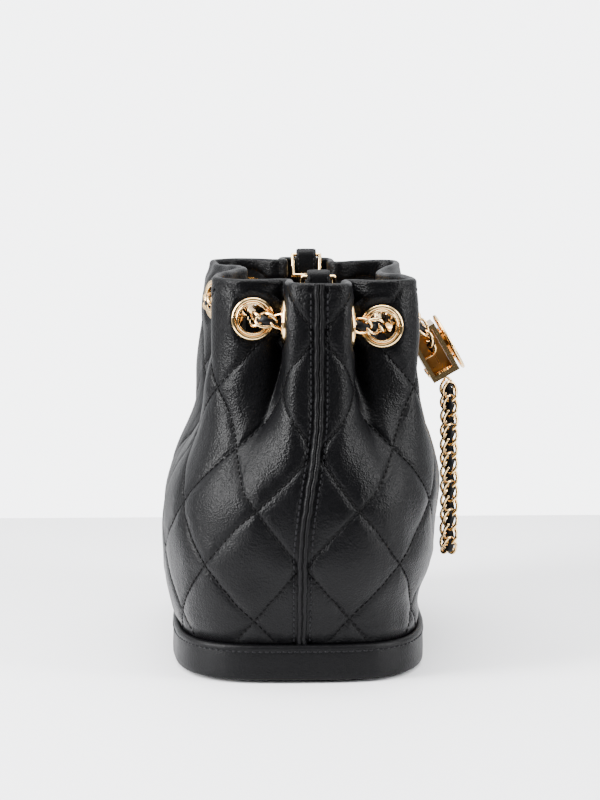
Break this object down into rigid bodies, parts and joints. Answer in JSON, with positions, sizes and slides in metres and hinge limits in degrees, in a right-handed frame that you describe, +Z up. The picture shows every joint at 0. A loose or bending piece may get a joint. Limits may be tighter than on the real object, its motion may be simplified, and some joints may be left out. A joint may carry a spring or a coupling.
{
  "type": "bucket bag",
  "caption": "Small drawstring bucket bag of quilted leather with a gathered mouth, eyelets, a laced chain and a sliding cinch.",
  "frame": {"origin": "centre of the base, on the table", "axes": "+Z up, X along the bag's long side, the front with the slider faces -Y"},
  "size_m": [0.201, 0.1448, 0.1843],
  "materials": {
    "leather": "satin",
    "facing_leather": "satin",
    "lining": "matte",
    "board": "matte",
    "gold": "polished",
    "laced_chain": "polished"
  },
  "bodies": {
    "bag": {"back_facing": "facing_leather", "back_lining": "lining", "back_panel": "leather", "base_band": "leather", "base_feet": "gold", "base_panel": "leather", "base_stiffener": "board", "drawstring_mouth": "laced_chain", "drawstring_strand_left": "laced_chain", "drawstring_strand_right": "laced_chain", "eyelet_back_left_centre": "gold", "eyelet_back_left_corner": "gold", "eyelet_back_left_seam": "gold", "eyelet_back_right_centre": "gold", "eyelet_back_right_corner": "gold", "eyelet_back_right_seam": "gold", "eyelet_front_left_centre": "gold", "eyelet_front_left_corner": "gold", "eyelet_front_left_seam": "gold", "eyelet_front_right_centre": "gold", "eyelet_front_right_corner": "gold", "eyelet_front_right_seam": "gold", "eyelet_washer_back_left_centre": "gold", "eyelet_washer_back_left_corner": "gold", "eyelet_washer_back_left_seam": "gold", "eyelet_washer_back_right_centre": "gold", "eyelet_washer_back_right_corner": "gold", "eyelet_washer_back_right_seam": "gold", "eyelet_washer_front_left_centre": "gold", "eyelet_washer_front_left_corner": "gold", "eyelet_washer_front_left_seam": "gold", "eyelet_washer_front_right_centre": "gold", "eyelet_washer_front_right_corner": "gold", "eyelet_washer_front_right_seam": "gold", "foot_washers": "gold", "front_facing": "facing_leather", "front_lining": "lining", "front_panel": "leather", "lining_floor": "lining", "side_piping_left": "leather", "side_piping_right": "leather", "strap_coil": "laced_chain", "strap_drop_left": "laced_chain", "strap_drop_right": "laced_chain", "strap_tab_left": "leather", "strap_tab_right": "leather", "tab_rivet_left": "gold", "tab_rivet_right": "gold"},
    "slider": {"slider_body": "gold", "slider_divider": "gold", "slider_medallion": "gold", "slider_screws": "gold"},
    "drawstring_loop": {"drawstring_loop": "laced_chain"},
    "ring_left": {"strap_ring_left": "gold"},
    "ring_right": {"strap_ring_right": "gold"}
  },
  "joints": [
    {"name": "slider_slide", "type": "slide", "parent": "bag", "child": "slider", "axis": [0, 0.5, 0.866], "range_m": [0, 0.008]},
    {"name": "loop_swing", "type": "hinge", "parent": "slider", "child": "drawstring_loop", "pos_m": [0, -0.0736, 0.1272], "axis": [-1, 0, 0], "range_deg": [0, 50]},
    {"name": "ring_left_turn", "type": "hinge", "parent": "bag", "child": "ring_left", "pos_m": [-0.08, -0.0075, 0.181], "axis": [0, -1, 0], "range_deg": [0, 35]},
    {"name": "ring_right_turn", "type": "hinge", "parent": "bag", "child": "ring_right", "pos_m": [0.08, -0.0075, 0.181], "axis": [0, 1, 0], "range_deg": [0, 35]}
  ]
}
